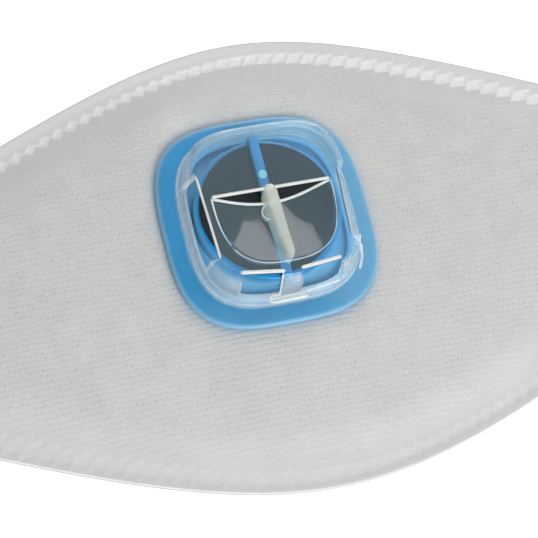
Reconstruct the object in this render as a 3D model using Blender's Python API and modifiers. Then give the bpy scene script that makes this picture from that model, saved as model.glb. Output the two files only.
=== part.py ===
"""Disposable flat-fold dust mask with an exhalation valve.

The mask lies folded flat on its back: +Z points out of the front panel, +Y
towards the nose and X along the width.  The origin is under the middle of the
mask, on the surface that it lies on.  All sizes are in metres.
"""
import math

import bmesh
import bpy
from mathutils import Matrix

# --- Driving dimensions -------------------------------------------------------
WIDTH = 0.206                # across the two end tabs
HEIGHT = 0.1035              # between the two seams' edges, at the middle
TOP_SLOPE = 0.513            # fall of the top edge towards the tabs
TOP_APEX = 0.0354            # how broadly the top edge is rounded at the middle
BOTTOM_SLOPE = 0.53
BOTTOM_APEX = 0.0446
TAB_CORNER = 0.004           # corner radius of the end tabs

WEB = 0.00035                # one outer or inner cover web
MEDIA = 0.0006               # the filter layer between two webs
LAYER_GAP = 0.00025
PANEL_GAP = 0.0003           # between the rear panels and the front panel

PLATEAU = 0.0048             # rise of the front panel's flat middle
DOME_RISE = 0.0075           # rise that the panel's flanks head for
DOME_BLEND = 6.0             # sharpness of the turn from flank to plateau

REAR_HALF_WIDTH = 0.095      # the rear panels stop short of the tabs
UPPER_FREE_EDGE = 0.0115     # where the folded upper panel ends
LOWER_FREE_EDGE = -0.0150    # where the folded lower panel ends

CLIP_LENGTH = 0.090
CLIP_WIDTH = 0.005
CLIP_THICKNESS = 0.0006
CLIP_SQUARE = 12             # squareness of its outline, as an exponent
FOAM_LENGTH = 0.084
FOAM_WIDTH = 0.011
FOAM_THICKNESS = 0.0018
FOAM_SQUARE = 6

STRAP_WIDTH = 0.006
STRAP_THICKNESS = 0.0009
STRAP_LENGTH = 0.202
STRAP_PITCH = 0.0110         # between the two straps' middles
STRAP_MIDDLE_Y = -0.0006
STRAP_BASE_Z = 0.0009

STAPLE_X = 0.0986
STAPLE_LEG_SPACING = 0.0036
STAPLE_WIRE_RADIUS = 0.00028
STAPLE_CLINCH = 0.0012       # how far each leg's end is bent inwards
STAPLE_HOLE = 0.0012

VALVE_X = -0.0043            # the valve sits a little to the left
VALVE_Y = 0.0065             # and above the middle
FLANGE_HALF = (0.0226, 0.0237)
FLANGE_THICKNESS = 0.0015
FLANGE_EDGE_ROUND = 0.0006
ROUND_SQUARE = 3.2           # exponent of the valve's rounded-square outlines
COLLAR_HALF = (0.0170, 0.0182)
COLLAR_WALL = 0.0009
COLLAR_TOP = 0.0029

SEAT_Y = 0.0008              # the round seat is a little above the flange's middle
PORT_RADIUS = 0.0130
SEAT_RADIUS = 0.0158
SEAT_FOOT_RADIUS = 0.0162
SEAT_TOP = 0.0052
NECK_RADIUS = 0.0144
NECK_DEPTH = 0.0021          # how far the port's neck reaches down through the layers
FABRIC_HOLE_RADIUS = 0.0148
RIB_HALF_WIDTH = 0.0010

CLEARANCE = 0.0003
MEMBRANE_RADIUS = 0.0148
MEMBRANE_THICKNESS = 0.0005
MEMBRANE_CENTRE_HALF = 0.0012
BAR_HALF_WIDTH = 0.0011
BAR_HALF_LENGTH = 0.0162
BAR_THICKNESS = 0.0012
BAR_SQUARE = 10
BAR_POST = 0.0009            # length of the post under each end of the bar
PIN_RADIUS = 0.0010
PIN_HEIGHT = 0.0006
PIN_Y = 0.0070

COVER_FOOT_Z = 0.0018
COVER_LIP_Z = 0.0040
COVER_STEP = 0.0004
COVER_SHOULDER_Z = 0.0114    # where the walls turn into the front plate
COVER_PLATE_Z = 0.0120
COVER_WALL = 0.0010
LIP_HALF = (0.0186, 0.0198)
WALL_FOOT_HALF = (0.0176, 0.0189)
SHOULDER_HALF = (0.0170, 0.0177)
PLATE_HALF = (0.0163, 0.0170)
SIDE_WINDOW = (-0.0099, 0.0081)        # span along Y
SIDE_WINDOW_LOW_Z = 0.0036
PLATE_CUT_X = 0.01415                  # the side windows notch the plate to here
BOTTOM_WINDOW = (0.0019, 0.0109)       # span along X, on both sides of the pillar
BOTTOM_WINDOW_Y = (-0.0157, -0.0148)   # its inner edge, near to and far from the pillar
BOTTOM_WINDOW_LOW_Z = 0.0052
WINDOW_REACH = 0.0240
DISH_HALF_WIDTH = 0.0131
DISH_TOP_Y = 0.0028
DISH_BOTTOM_Y = -0.0138
DISH_DEPTH = 0.0030
DISH_ROUND = 2.8
DISH_FALL = 1.2              # how the dish deepens towards its lip, as an exponent
DISH_OVERLAP = 0.985         # the dish's share of its outline's half-width
DISH_WALL = 0.0009
SLOT_GAP = 0.0014            # how far the dish's lip dips below the slot's straight edge
FIN_HALF_WIDTH = (0.0008, 0.0013)      # at its lower and its upper end
FIN_TOP_Z = 0.0138
FIN_FOOT_Z = 0.0085
FIN_SPAN = (-0.0128, 0.0032)
BOSS_RADIUS = 0.0019
BOSS_SPOT = (-0.0010, -0.0018)
BOSS_LEVELS = (0.0092, 0.0104)
RAIL_LOW = (-0.0040, -0.0202, 0.0024)  # the snap rail's corners, on the lip's lower side
RAIL_HIGH = (0.0070, -0.0192, 0.0033)

OUTLINE_POINTS = 48
BOSS_POINTS = 20
PIN_POINTS = 16
FRONT_COLUMNS = 26
FRONT_ROWS = 8
REAR_COLUMNS = 20
MERGE = 0.00001

# --- Worked-out levels --------------------------------------------------------
HALF_WIDTH = WIDTH / 2
HALF_HEIGHT = HEIGHT / 2
LAYERS = (("outer_web", WEB), ("filter_media", MEDIA), ("inner_web", WEB))
PANEL_STACK = 2 * WEB + MEDIA + 2 * LAYER_GAP
FRONT_BASE_Z = PANEL_STACK + PANEL_GAP
FRONT_TOP_Z = FRONT_BASE_Z + PANEL_STACK
VALVE_Z = FRONT_TOP_Z + PLATEAU + CLEARANCE
MEMBRANE_Z = SEAT_TOP + CLEARANCE
BAR_Z = MEMBRANE_Z + MEMBRANE_THICKNESS + CLEARANCE

COLOURS = {
    "outer_web": ((0.80, 0.80, 0.79), 0.85, 0.0),
    "filter_media": ((0.86, 0.86, 0.84), 0.95, 0.0),
    "inner_web": ((0.84, 0.84, 0.82), 0.9, 0.0),
    "clip": ((0.74, 0.75, 0.76), 0.35, 1.0),
    "foam": ((0.16, 0.17, 0.19), 0.95, 0.0),
    "strap": ((0.78, 0.79, 0.80), 0.8, 0.0),
    "staple": ((0.66, 0.67, 0.68), 0.3, 1.0),
    "blue": ((0.07, 0.31, 0.60), 0.4, 0.0),
    "cover": ((0.62, 0.75, 0.88), 0.25, 0.0),
    "membrane": ((0.07, 0.09, 0.12), 0.55, 0.0),
}


# --- Scene, materials and placing ---------------------------------------------
def clear_scene():
    """Remove whatever objects the scene holds."""
    for old in list(bpy.data.objects):
        bpy.data.objects.remove(old, do_unlink=True)


def new_collection(name):
    """Return a fresh collection linked to the scene."""
    collection = bpy.data.collections.new(name)
    bpy.context.scene.collection.children.link(collection)
    return collection


def new_material(name, finish):
    """Return a Principled material with one of the part's finishes."""
    colour, roughness, metallic = COLOURS[finish]
    material = bpy.data.materials.new(name)
    material.use_nodes = True
    shader = material.node_tree.nodes["Principled BSDF"]
    shader.inputs["Base Color"].default_value = (*colour, 1.0)
    shader.inputs["Roughness"].default_value = roughness
    shader.inputs["Metallic"].default_value = metallic
    return material


def place(name, mesh, finish, location=(0, 0, 0)):
    """Put a mesh in the part's collection under its own name and material."""
    mesh.name = name
    mesh.materials.clear()
    mesh.materials.append(new_material(name, finish))
    piece = bpy.data.objects.new(name, mesh)
    piece.location = location
    parts.objects.link(piece)
    return piece


def tool(name, mesh, location=(0, 0, 0)):
    """Put a mesh among the cutters, out of sight."""
    piece = bpy.data.objects.new(name, mesh)
    piece.location = location
    piece.hide_render = True
    piece.display_type = "WIRE"
    cutters.objects.link(piece)
    return piece


def combine(piece, other, operation):
    """Add a Boolean with another object to a piece."""
    modifier = piece.modifiers.new(other.name, "BOOLEAN")
    modifier.operation = operation
    modifier.object = other
    modifier.solver = "EXACT"


def thicken(piece, thickness, side):
    """Turn an open surface into a shell, growing to one side of it."""
    modifier = piece.modifiers.new("thickness", "SOLIDIFY")
    modifier.thickness = thickness
    modifier.offset = side
    modifier.use_even_offset = True


def round_edges(piece, width, segments):
    """Round the sharp edges of a piece."""
    modifier = piece.modifiers.new("rounding", "BEVEL")
    modifier.width = width
    modifier.segments = segments
    modifier.limit_method = "ANGLE"
    modifier.angle_limit = math.radians(50)


# --- Mesh makers --------------------------------------------------------------
def mesh_of_curve(curve, matrix=None):
    """Convert a curve to a mesh whose caps are welded to its sides."""
    holder = bpy.data.objects.new("curve", curve)
    bpy.context.scene.collection.objects.link(holder)
    graph = bpy.context.evaluated_depsgraph_get()
    mesh = bpy.data.meshes.new_from_object(holder.evaluated_get(graph))
    bpy.data.objects.remove(holder, do_unlink=True)
    body = bmesh.new()
    body.from_mesh(mesh)
    bmesh.ops.remove_doubles(body, verts=body.verts, dist=MERGE)
    bmesh.ops.recalc_face_normals(body, faces=body.faces)
    if matrix:
        bmesh.ops.transform(body, matrix=matrix, verts=body.verts)
    body.to_mesh(mesh)
    body.free()
    return mesh


def plate_mesh(outlines, low, high):
    """Return a flat plate between two levels; a second outline is a hole."""
    curve = bpy.data.curves.new("outline", "CURVE")
    curve.dimensions = "2D"
    curve.fill_mode = "BOTH"
    curve.extrude = (high - low) / 2
    for outline in outlines:
        spline = curve.splines.new("POLY")
        spline.points.add(len(outline) - 1)
        spline.use_cyclic_u = True
        for point, (x, y) in zip(spline.points, outline):
            point.co = (x, y, 0, 1)
    return mesh_of_curve(curve, Matrix.Translation((0, 0, (low + high) / 2)))


def wire_mesh(points, radius):
    """Return a round wire through a list of points."""
    curve = bpy.data.curves.new("wire", "CURVE")
    curve.dimensions = "3D"
    curve.bevel_depth = radius
    curve.bevel_resolution = 1
    curve.use_fill_caps = True
    spline = curve.splines.new("POLY")
    spline.points.add(len(points) - 1)
    for point, position in zip(spline.points, points):
        point.co = (*position, 1)
    return mesh_of_curve(curve)


def block_mesh(low, high):
    """Return a box between two corners."""
    mesh = bpy.data.meshes.new("block")
    body = bmesh.new()
    size = [b - a for a, b in zip(low, high)]
    middle = [(a + b) / 2 for a, b in zip(low, high)]
    bmesh.ops.create_cube(body, size=1.0, matrix=Matrix.Translation(middle) @ Matrix.Diagonal((*size, 1)))
    body.to_mesh(mesh)
    body.free()
    return mesh


def rod_mesh(radius, low, high, segments=32, centre=(0, 0)):
    """Return an upright cylinder between two levels."""
    mesh = bpy.data.meshes.new("rod")
    body = bmesh.new()
    middle = Matrix.Translation((*centre, (low + high) / 2))
    bmesh.ops.create_cone(body, cap_ends=True, segments=segments, radius1=radius, radius2=radius,
                          depth=high - low, matrix=middle)
    body.to_mesh(mesh)
    body.free()
    return mesh


def turned(name, profile):
    """Return an object made by turning a profile of (radius, height) points about Z."""
    mesh = bpy.data.meshes.new(name)
    body = bmesh.new()
    ring = [body.verts.new((radius, 0, height)) for radius, height in profile]
    for first, second in zip(ring, ring[1:] + ring[:1]):
        body.edges.new((first, second))
    body.to_mesh(mesh)
    body.free()
    piece = bpy.data.objects.new(name, mesh)
    screw = piece.modifiers.new("turn", "SCREW")
    screw.steps = OUTLINE_POINTS
    screw.render_steps = OUTLINE_POINTS
    screw.use_merge_vertices = True
    screw.merge_threshold = MERGE
    return piece


# --- Outlines -----------------------------------------------------------------
def round_square(half, exponent=ROUND_SQUARE, count=OUTLINE_POINTS):
    """Points of a rounded square about the origin, as a superellipse."""
    points = []
    for step in range(count):
        angle = 2 * math.pi * (step + 0.5) / count
        across, along = math.cos(angle), math.sin(angle)
        x = math.copysign(abs(across) ** (2 / exponent), across) * half[0]
        y = math.copysign(abs(along) ** (2 / exponent), along) * half[1]
        points.append((x, y))
    return points


def tab_rounding(x):
    """How much the tabs' rounded corners take off the outline at x."""
    past = abs(x) - (HALF_WIDTH - TAB_CORNER)
    if past <= 0:
        return 0.0
    return TAB_CORNER - math.sqrt(max(TAB_CORNER ** 2 - past ** 2, 0.0))


def top_edge(x):
    """Height of the top seam's edge."""
    fall = TOP_SLOPE * (math.hypot(x, TOP_APEX) - TOP_APEX)
    return HALF_HEIGHT - fall - tab_rounding(x)


def bottom_edge(x):
    """Height of the bottom seam's edge."""
    rise = BOTTOM_SLOPE * (math.hypot(x, BOTTOM_APEX) - BOTTOM_APEX)
    return rise + tab_rounding(x) - HALF_HEIGHT


def front_rise(x, y):
    """How far the front panel stands above its edges."""
    high, low = top_edge(x), bottom_edge(x)
    across = x / HALF_WIDTH
    along = (2 * y - high - low) / (high - low)
    flank = DOME_RISE * max(1 - across ** 2, 0.0) * max(1 - along ** 2, 0.0)
    return flank / (1 + (flank / PLATEAU) ** DOME_BLEND) ** (1 / DOME_BLEND)


def flat(x, y):
    """A panel without any rise."""
    return 0.0


# --- Fabric panels ------------------------------------------------------------
def panel_layer(name, finish, span, low, high, rise, base, thickness, columns, rows):
    """One layer of a panel, between two edges that are functions of x."""
    mesh = bpy.data.meshes.new(name)
    body = bmesh.new()
    bmesh.ops.create_grid(body, x_segments=columns, y_segments=rows, size=1.0)
    for vertex in body.verts:
        x = span * math.sin(vertex.co.x * math.pi / 2)
        share = (vertex.co.y + 1) / 2
        y = low(x) + (high(x) - low(x)) * share
        vertex.co = (x, y, base + rise(x, y))
    body.to_mesh(mesh)
    body.free()
    piece = place(name, mesh, finish)
    thicken(piece, thickness, 1)
    return piece


def front_panel():
    """Three domed layers with the valve's hole and the staples' holes."""
    port = tool("front_port_cutter", rod_mesh(FABRIC_HOLE_RADIUS, 0, VALVE_Z, OUTLINE_POINTS),
                (VALVE_X, VALVE_Y + SEAT_Y, 0))
    base = FRONT_TOP_Z
    for layer, thickness in LAYERS:
        base -= thickness
        piece = panel_layer(f"front_panel_{layer}", layer, HALF_WIDTH, bottom_edge, top_edge,
                            front_rise, base, thickness, FRONT_COLUMNS, FRONT_ROWS)
        combine(piece, port, "DIFFERENCE")
        combine(piece, staple_holes, "DIFFERENCE")
        base -= LAYER_GAP


def rear_panel(side, low, high, media_low, media_high):
    """Three flat layers; the filter layer may end short of the free edge."""
    base = 0.0
    for layer, thickness in LAYERS:
        edges = (media_low, media_high) if layer == "filter_media" else (low, high)
        panel_layer(f"{side}_panel_{layer}", layer, REAR_HALF_WIDTH, *edges, flat, base,
                    thickness, REAR_COLUMNS, 1)
        base += thickness + LAYER_GAP


def rear_panels():
    """The upper panel with its nose clip and foam, and the lower panel."""
    clip_low = UPPER_FREE_EDGE + 2 * CLEARANCE + WEB
    clip_high = clip_low + CLIP_WIDTH
    media_low = clip_high + 2 * CLEARANCE
    rear_panel("upper", lambda x: UPPER_FREE_EDGE, top_edge, lambda x: media_low, top_edge)
    rear_panel("lower", bottom_edge, lambda x: LOWER_FREE_EDGE, bottom_edge,
               lambda x: LOWER_FREE_EDGE)

    clip_base = WEB + (PANEL_STACK - 2 * WEB - CLIP_THICKNESS) / 2
    clip_outline = [(x, y + (clip_low + clip_high) / 2)
                    for x, y in round_square((CLIP_LENGTH / 2, CLIP_WIDTH / 2), CLIP_SQUARE, 24)]
    place("nose_clip", plate_mesh([clip_outline], clip_base, clip_base + CLIP_THICKNESS), "clip")

    foam_base = PANEL_STACK + CLEARANCE
    foam_y = UPPER_FREE_EDGE + CLEARANCE + FOAM_WIDTH / 2
    foam_outline = [(x, y + foam_y)
                    for x, y in round_square((FOAM_LENGTH / 2, FOAM_WIDTH / 2), FOAM_SQUARE, 32)]
    foam = plate_mesh([foam_outline], foam_base, foam_base + FOAM_THICKNESS)
    place("nose_foam", foam, "foam")


# --- Head straps and staples --------------------------------------------------
def strap_y(name):
    """Height of a strap's middle line."""
    return STRAP_MIDDLE_Y + (STRAP_PITCH / 2 if name == "upper" else -STRAP_PITCH / 2)


def staple_hole_mesh():
    """Small square holes for the eight legs of the staples, as one cutter."""
    body = bmesh.new()
    for level in ("upper", "lower"):
        for side in (-1, 1):
            for leg in (-1, 1):
                spot = (side * STAPLE_X, strap_y(level) + leg * STAPLE_LEG_SPACING / 2, VALVE_Z / 2)
                size = Matrix.Diagonal((STAPLE_HOLE, STAPLE_HOLE, 2 * VALVE_Z, 1))
                bmesh.ops.create_cube(body, size=1.0, matrix=Matrix.Translation(spot) @ size)
    mesh = bpy.data.meshes.new("staple_holes")
    body.to_mesh(mesh)
    body.free()
    return mesh


def straps():
    """Two flat elastic straps, straight across the back between the tabs."""
    for level in ("upper", "lower"):
        middle = strap_y(level)
        low = (-STRAP_LENGTH / 2, middle - STRAP_WIDTH / 2, STRAP_BASE_Z)
        high = (STRAP_LENGTH / 2, middle + STRAP_WIDTH / 2, STRAP_BASE_Z + STRAP_THICKNESS)
        strap = place(f"{level}_head_strap", block_mesh(low, high), "strap")
        combine(strap, staple_holes, "DIFFERENCE")


def staples():
    """Four wire staples, each through a tab and one strap's end."""
    half = STAPLE_LEG_SPACING / 2
    crown = front_rise(STAPLE_X, 0) + FRONT_TOP_Z + STAPLE_WIRE_RADIUS + CLEARANCE
    foot = STRAP_BASE_Z - STAPLE_WIRE_RADIUS - CLEARANCE
    path = [(0, -half + STAPLE_CLINCH, foot), (0, -half, foot), (0, -half, crown),
            (0, half, crown), (0, half, foot), (0, half - STAPLE_CLINCH, foot)]
    for level in ("upper", "lower"):
        for side, sign in (("left", -1), ("right", 1)):
            staple = wire_mesh(path, STAPLE_WIRE_RADIUS)
            place(f"staple_{level}_{side}", staple, "staple", (sign * STAPLE_X, strap_y(level), 0))


# --- Exhalation valve ---------------------------------------------------------
def valve_place(name, mesh, finish, x=0.0, y=0.0, z=0.0):
    """Place a piece of the valve by its offset from the flange's lower face."""
    return place(name, mesh, finish, (VALVE_X + x, VALVE_Y + y, VALVE_Z + z))


def valve_tool(name, mesh, y=0.0):
    """Place a valve cutter or a shape to be joined."""
    return tool(name, mesh, (VALVE_X, VALVE_Y + y, VALVE_Z))


def valve_base():
    """Flange, collar, round seat with its neck, and the rib and posts for the bar."""
    flange = plate_mesh([round_square(FLANGE_HALF)], 0, FLANGE_THICKNESS)
    base = valve_place("valve_base", flange, "blue")
    round_edges(base, FLANGE_EDGE_ROUND, 2)
    port = rod_mesh(PORT_RADIUS, -2 * NECK_DEPTH, 2 * SEAT_TOP, OUTLINE_POINTS)
    combine(base, valve_tool("port_cutter", port, SEAT_Y), "DIFFERENCE")

    inside = [side - COLLAR_WALL for side in COLLAR_HALF]
    collar = plate_mesh([round_square(COLLAR_HALF), round_square(inside)],
                        FLANGE_THICKNESS / 2, COLLAR_TOP)
    combine(base, valve_tool("collar", collar), "UNION")

    inner = PORT_RADIUS - CLEARANCE
    buried = FLANGE_THICKNESS / 2
    seat = turned("seat", [(SEAT_RADIUS, SEAT_TOP), (SEAT_FOOT_RADIUS, buried), (NECK_RADIUS, buried),
                           (NECK_RADIUS, -NECK_DEPTH), (inner, -NECK_DEPTH), (inner, SEAT_TOP)])
    seat.location = (VALVE_X, VALVE_Y + SEAT_Y, VALVE_Z)
    seat.hide_render = True
    seat.display_type = "WIRE"
    cutters.objects.link(seat)
    combine(base, seat, "UNION")

    reach = (PORT_RADIUS + SEAT_RADIUS) / 2
    rib = block_mesh((-RIB_HALF_WIDTH, -reach, CLEARANCE), (RIB_HALF_WIDTH, reach, SEAT_TOP - CLEARANCE))
    combine(base, valve_tool("rib", rib, SEAT_Y), "UNION")
    for side, sign in (("upper", 1), ("lower", -1)):
        ends = sorted((sign * (BAR_HALF_LENGTH - BAR_POST), sign * BAR_HALF_LENGTH))
        post = block_mesh((-RIB_HALF_WIDTH, ends[0], buried),
                          (RIB_HALF_WIDTH, ends[1], BAR_Z - CLEARANCE))
        combine(base, valve_tool(f"{side}_post", post, SEAT_Y), "UNION")


def membrane():
    """The rubber disc: its clamped middle and the two flaps that lift."""
    reach = math.sqrt(MEMBRANE_RADIUS ** 2 - MEMBRANE_CENTRE_HALF ** 2)
    strip = block_mesh((-MEMBRANE_CENTRE_HALF, -reach, 0), (MEMBRANE_CENTRE_HALF, reach, MEMBRANE_THICKNESS))
    valve_place("membrane_centre", strip, "membrane", 0.0, SEAT_Y, MEMBRANE_Z)

    hinge = MEMBRANE_CENTRE_HALF + CLEARANCE
    half_angle = math.acos(hinge / MEMBRANE_RADIUS)
    steps = OUTLINE_POINTS // 2
    for side, sign in (("left", -1), ("right", 1)):
        outline = []
        for step in range(steps + 1):
            angle = half_angle * (2 * step / steps - 1)
            x = MEMBRANE_RADIUS * math.cos(angle) - hinge
            outline.append((sign * x, MEMBRANE_RADIUS * math.sin(angle)))
        flap = plate_mesh([outline], -MEMBRANE_THICKNESS / 2, MEMBRANE_THICKNESS / 2)
        valve_place(f"membrane_flap_{side}", flap, "membrane", sign * hinge, SEAT_Y,
                    MEMBRANE_Z + MEMBRANE_THICKNESS / 2)


def clamp_bar():
    """Narrow bar across the membrane's middle, with two pin heads."""
    outline = round_square((BAR_HALF_WIDTH, BAR_HALF_LENGTH), BAR_SQUARE, 24)
    bar_mesh = plate_mesh([outline], 0, BAR_THICKNESS)
    bar = valve_place("membrane_clamp_bar", bar_mesh, "blue", 0.0, SEAT_Y, BAR_Z)
    bar_top = BAR_Z + BAR_THICKNESS
    for side, sign in (("upper", 1), ("lower", -1)):
        pin = rod_mesh(PIN_RADIUS, bar_top - BAR_THICKNESS / 2, bar_top + PIN_HEIGHT, PIN_POINTS,
                       (0, sign * PIN_Y))
        combine(bar, valve_tool(f"{side}_pin", pin, SEAT_Y), "UNION")


def cover_surface():
    """The cover's outer surface, lofted from its foot up to the front plate."""
    sections = (
        (LIP_HALF, COVER_FOOT_Z),
        (LIP_HALF, COVER_LIP_Z),
        (WALL_FOOT_HALF, COVER_LIP_Z + COVER_STEP),
        (SHOULDER_HALF, COVER_SHOULDER_Z),
        (PLATE_HALF, COVER_PLATE_Z),
    )
    body = bmesh.new()
    loops = []
    for half, level in sections:
        last = level == COVER_PLATE_Z
        ring = bmesh.ops.create_circle(body, cap_ends=last, segments=OUTLINE_POINTS, radius=1.0)["verts"]
        for vertex, (x, y) in zip(ring, round_square(half)):
            vertex.co = (x, y, level)
        inside = set(ring)
        loops.append([edge for edge in body.edges if inside.issuperset(edge.verts)])
    for lower, upper in zip(loops, loops[1:]):
        bmesh.ops.bridge_loops(body, edges=lower + upper)
    bmesh.ops.recalc_face_normals(body, faces=body.faces)
    mesh = bpy.data.meshes.new("valve_cover")
    body.to_mesh(mesh)
    body.free()
    return mesh


def dish_low(x, shrink=0.0):
    """Lower boundary of the recessed dish."""
    half, depth = DISH_HALF_WIDTH - shrink, DISH_TOP_Y - DISH_BOTTOM_Y - shrink
    share = max(1 - abs(x / half) ** DISH_ROUND, 0.0)
    return DISH_TOP_Y - depth * share ** (1 / DISH_ROUND)


def dish():
    """The recessed lower half of the front plate, deepest at its upper lip."""
    half = DISH_OVERLAP * DISH_HALF_WIDTH
    height = DISH_TOP_Y - DISH_BOTTOM_Y
    mesh = bpy.data.meshes.new("dish")
    body = bmesh.new()
    bmesh.ops.create_grid(body, x_segments=20, y_segments=6, size=1.0)
    for vertex in body.verts:
        x = half * math.sin(vertex.co.x * math.pi / 2)
        crown = 1 - (x / DISH_HALF_WIDTH) ** 2
        lip = DISH_TOP_Y - SLOT_GAP * crown
        low = dish_low(x)
        y = low + (lip - low) * (vertex.co.y + 1) / 2
        up = min(max((y - DISH_BOTTOM_Y) / height, 0.0), 1.0)
        vertex.co = (x, y, COVER_PLATE_Z - CLEARANCE - DISH_DEPTH * crown * up ** DISH_FALL)
    body.to_mesh(mesh)
    body.free()
    piece = valve_tool("dish", mesh)
    thicken(piece, DISH_WALL, -1)
    return piece


def dish_opening():
    """The hole in the front plate that the dish closes, a little smaller than it."""
    half = DISH_HALF_WIDTH - 2 * CLEARANCE
    outline = []
    for step in range(-12, 13):
        x = half * math.sin(step * math.pi / 24)
        outline.append((x, dish_low(x, 2 * CLEARANCE)))
    return plate_mesh([outline], COVER_PLATE_Z - DISH_DEPTH - DISH_WALL, FIN_TOP_Z)


def fin():
    """The upright blade in front of the dish."""
    low, high = FIN_SPAN
    narrow, wide = FIN_HALF_WIDTH
    outline = [(-wide, high), (wide, high)]
    for step in range(7):
        angle = -math.pi * step / 6
        outline.append((narrow * math.cos(angle), low + narrow + narrow * math.sin(angle)))
    return plate_mesh([outline], FIN_FOOT_Z, FIN_TOP_Z)


def window_mesh(corners, low):
    """A window cutter over a plan outline, open at the top so that it notches the plate."""
    return plate_mesh([corners], low, FIN_TOP_Z)


def valve_cover():
    """Vented shell over the membrane: plate, windows, dish, fin and snap rail."""
    cover = valve_place("valve_cover", cover_surface(), "cover")
    thicken(cover, COVER_WALL, -1)
    low_y, high_y = SIDE_WINDOW
    near, far = BOTTOM_WINDOW
    near_y, far_y = BOTTOM_WINDOW_Y
    for side, sign in (("left", -1), ("right", 1)):
        corners = [(sign * PLATE_CUT_X, low_y), (sign * PLATE_CUT_X, high_y),
                   (sign * WINDOW_REACH, high_y), (sign * WINDOW_REACH, low_y)]
        window = window_mesh(corners, SIDE_WINDOW_LOW_Z)
        combine(cover, valve_tool(f"{side}_window", window), "DIFFERENCE")
        corners = [(sign * near, near_y), (sign * far, far_y),
                   (sign * (far + CLEARANCE), -WINDOW_REACH), (sign * (near + 2 * CLEARANCE), -WINDOW_REACH)]
        window = window_mesh(corners, BOTTOM_WINDOW_LOW_Z)
        combine(cover, valve_tool(f"bottom_{side}_window", window), "DIFFERENCE")
    combine(cover, valve_tool("dish_opening", dish_opening()), "DIFFERENCE")
    combine(cover, dish(), "UNION")
    combine(cover, valve_tool("fin", fin()), "UNION")
    boss = rod_mesh(BOSS_RADIUS, *BOSS_LEVELS, BOSS_POINTS, BOSS_SPOT)
    combine(cover, valve_tool("boss", boss), "UNION")
    combine(cover, valve_tool("snap_rail", block_mesh(RAIL_LOW, RAIL_HIGH)), "UNION")


clear_scene()
parts = new_collection("disposable_dust_mask")
cutters = new_collection("cutters")
staple_holes = tool("staple_holes", staple_hole_mesh())
front_panel()
rear_panels()
straps()
staples()
valve_base()
membrane()
clamp_bar()
valve_cover()
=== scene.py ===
"""Looks of a disposable flat-fold dust mask with an exhalation valve, around its CAD frame."""

import math

import bmesh
import bpy
import numpy as np
from mathutils import Matrix, Vector


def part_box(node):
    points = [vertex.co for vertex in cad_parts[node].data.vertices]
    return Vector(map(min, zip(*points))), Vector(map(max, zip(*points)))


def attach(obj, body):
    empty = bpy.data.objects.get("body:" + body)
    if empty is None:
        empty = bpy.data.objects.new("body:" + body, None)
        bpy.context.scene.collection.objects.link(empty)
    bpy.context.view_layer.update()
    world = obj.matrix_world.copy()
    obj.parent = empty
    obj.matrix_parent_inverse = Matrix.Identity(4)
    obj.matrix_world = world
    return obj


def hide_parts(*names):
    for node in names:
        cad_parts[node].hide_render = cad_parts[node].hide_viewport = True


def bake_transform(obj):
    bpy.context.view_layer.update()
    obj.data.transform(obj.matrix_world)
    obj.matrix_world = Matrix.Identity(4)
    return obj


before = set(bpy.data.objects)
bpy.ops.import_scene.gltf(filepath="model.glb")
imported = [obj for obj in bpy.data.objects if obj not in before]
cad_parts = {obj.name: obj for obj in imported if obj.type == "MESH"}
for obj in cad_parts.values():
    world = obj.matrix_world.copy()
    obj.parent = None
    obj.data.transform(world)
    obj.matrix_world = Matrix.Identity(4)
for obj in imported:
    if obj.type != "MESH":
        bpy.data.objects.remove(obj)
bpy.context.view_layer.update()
scene = bpy.context.scene

MM = 0.001
TAU = 2 * math.pi


# --- Shapes shared with the CAD part, in metres ---
HALF_WIDTH, HALF_HEIGHT = 0.103, 0.05175
TOP_SLOPE, TOP_APEX = 0.513, 0.0354  # the top seam's slope far out, and its peak's roundness
BOTTOM_SLOPE, BOTTOM_APEX = 0.53, 0.0446  # the same, of the bottom seam
TAB_CORNER = 0.004
FRONT_TOP = 0.0039  # height of the front panel's edge
PLATEAU, DOME_RISE, DOME_BLEND = 0.0048, 0.0075, 6.0
WEB, MEDIA, GAP = 0.00035, 0.0006, 0.00025  # thicknesses, and the gap between two layers
REAR_HALF = 0.095
UPPER_FREE, LOWER_FREE = 0.0115, -0.0150  # where the rear panels end
VALVE = Vector((-0.0043, 0.0065, 0.0090))
SEAT_Y = 0.0008  # from the valve's middle to its seat's
FLANGE_HALF, FLANGE_SQUARE = (0.0226, 0.0237), 3.2
HOLE_RADIUS = 0.0148

WELD_PITCH = 0.0033
WELD_TOP, WELD_LOW = 0.0044, 0.0027  # from the upper and lower seam's edge to the middle of the weld
WELD_HALF = 0.00155  # half of a tooth's width
WELD_HEIGHT = 0.00136  # half of a tooth's height
WELD_LEAN = 0.70  # sideways, of its sides for each unit upwards
WELD_TILT = -0.02  # downwards, of its ends for each unit to the right
WELD_TURN = 0.8  # more tilt for each unit of the seam's slope upwards
WELD_BETWEEN = 0.72  # how strongly the cloth between two teeth is marked
LOW_WELD, REAR_WELD = 0.28, 0.6  # how strongly the lower seam's and the rear panels' teeth show
DENT_TOP, DENT_LOW, DENT_REAR = 0.00024, 0.00004, 0.00022  # how deep they are pressed in
SIDE_BLUR, END_BLUR = 0.20, 0.30  # of a drawn tooth's sides and ends, in millimetres
MARGIN = (0.0050, 0.0062)  # where the plain strip outside the weld ends
PRESS = (0.0045, 0.0100)  # where the layers stop being pressed together
# painted light: strength and reach of the blue that the flange throws on the cloth
PAINTED_GLOW, PAINTED_GLOW_REACH = 0.40, 0.055  # of the blue that the flange throws on the cloth
FINE_STEP, FINE_ROWS = 0.0004, 20  # of a front layer's points along both seams
REAR_STEP, REAR_ROWS = 0.0005, 16  # the same, of a rear layer's along its one seam
HEM, HEM_PITCH = 0.0012, 0.003  # width of the rear panels' hem, and pitch of its bonds
STRIP_X = 0.030  # where the rear panels' side strips begin


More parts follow.
